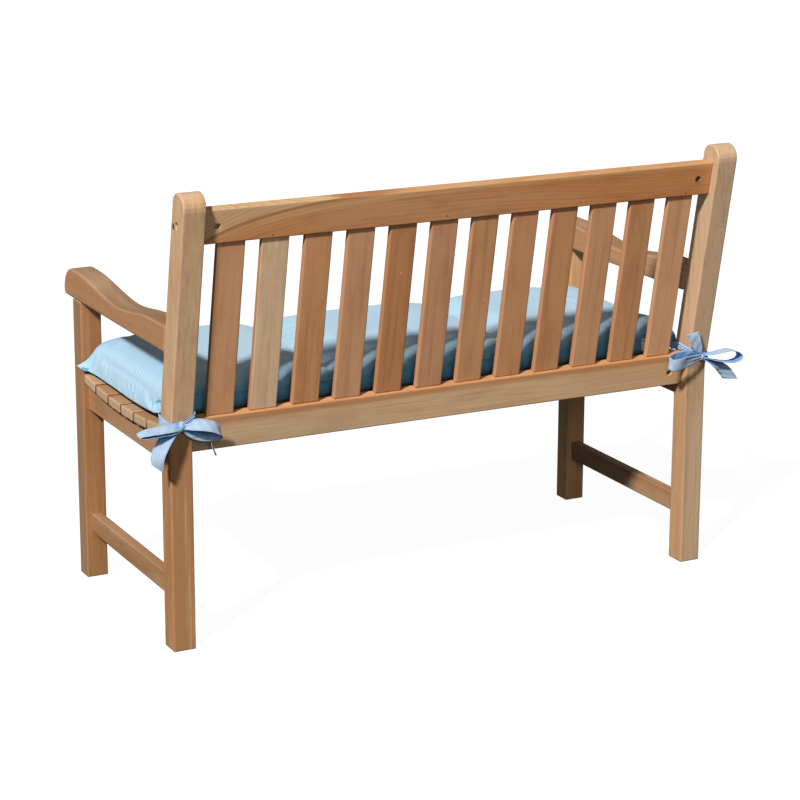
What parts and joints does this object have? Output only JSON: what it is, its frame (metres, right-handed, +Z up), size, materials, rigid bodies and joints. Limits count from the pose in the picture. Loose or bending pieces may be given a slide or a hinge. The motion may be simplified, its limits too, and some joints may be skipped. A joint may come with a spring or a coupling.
{
  "type": "bench cushion on garden bench",
  "caption": "Filled seat cushion with sewn channels and ribbon ties, bowed round the rear posts of a plain slatted wooden garden bench.",
  "frame": {"origin": "middle of the whole outline, on the floor under the legs", "axes": "+X to the sitter's left along the bench, +Y to the back of the bench, +Z up; the sitter faces -Y"},
  "size_m": [1.3447, 0.6544, 0.9065],
  "materials": {
    "wood": "light oiled hardwood, orange-brown with straight grain, sawn and eased edges",
    "cushion_cloth": "plain-woven light blue cotton-like cloth, matt, a few soft creases",
    "tie_ribbon": "flat ribbon of the same light blue cloth, folded edges",
    "label_cloth": "blank white woven label"
  },
  "bodies": {
    "root": {"cushion": "cushion_cloth", "sewn_label": "label_cloth", "tie_left": "tie_ribbon", "tie_right": "tie_ribbon", "rear_post_left": "wood", "rear_post_right": "wood", "front_leg_left": "wood", "front_leg_right": "wood", "top_rail": "wood", "lower_back_rail": "wood", "back_slat_01": "wood", "back_slat_02": "wood", "back_slat_03": "wood", "back_slat_04": "wood", "back_slat_05": "wood", "back_slat_06": "wood", "back_slat_07": "wood", "back_slat_08": "wood", "back_slat_09": "wood", "back_slat_10": "wood", "back_slat_11": "wood", "back_slat_12": "wood", "side_seat_rail_left": "wood", "side_seat_rail_right": "wood", "front_seat_rail": "wood", "seat_slat_01": "wood", "seat_slat_02": "wood", "seat_slat_03": "wood", "seat_slat_04": "wood", "seat_slat_05": "wood", "seat_slat_06": "wood", "seat_slat_07": "wood", "side_stretcher_left": "wood", "side_stretcher_right": "wood", "arm_left": "wood", "arm_right": "wood"}
  },
  "joints": []
}
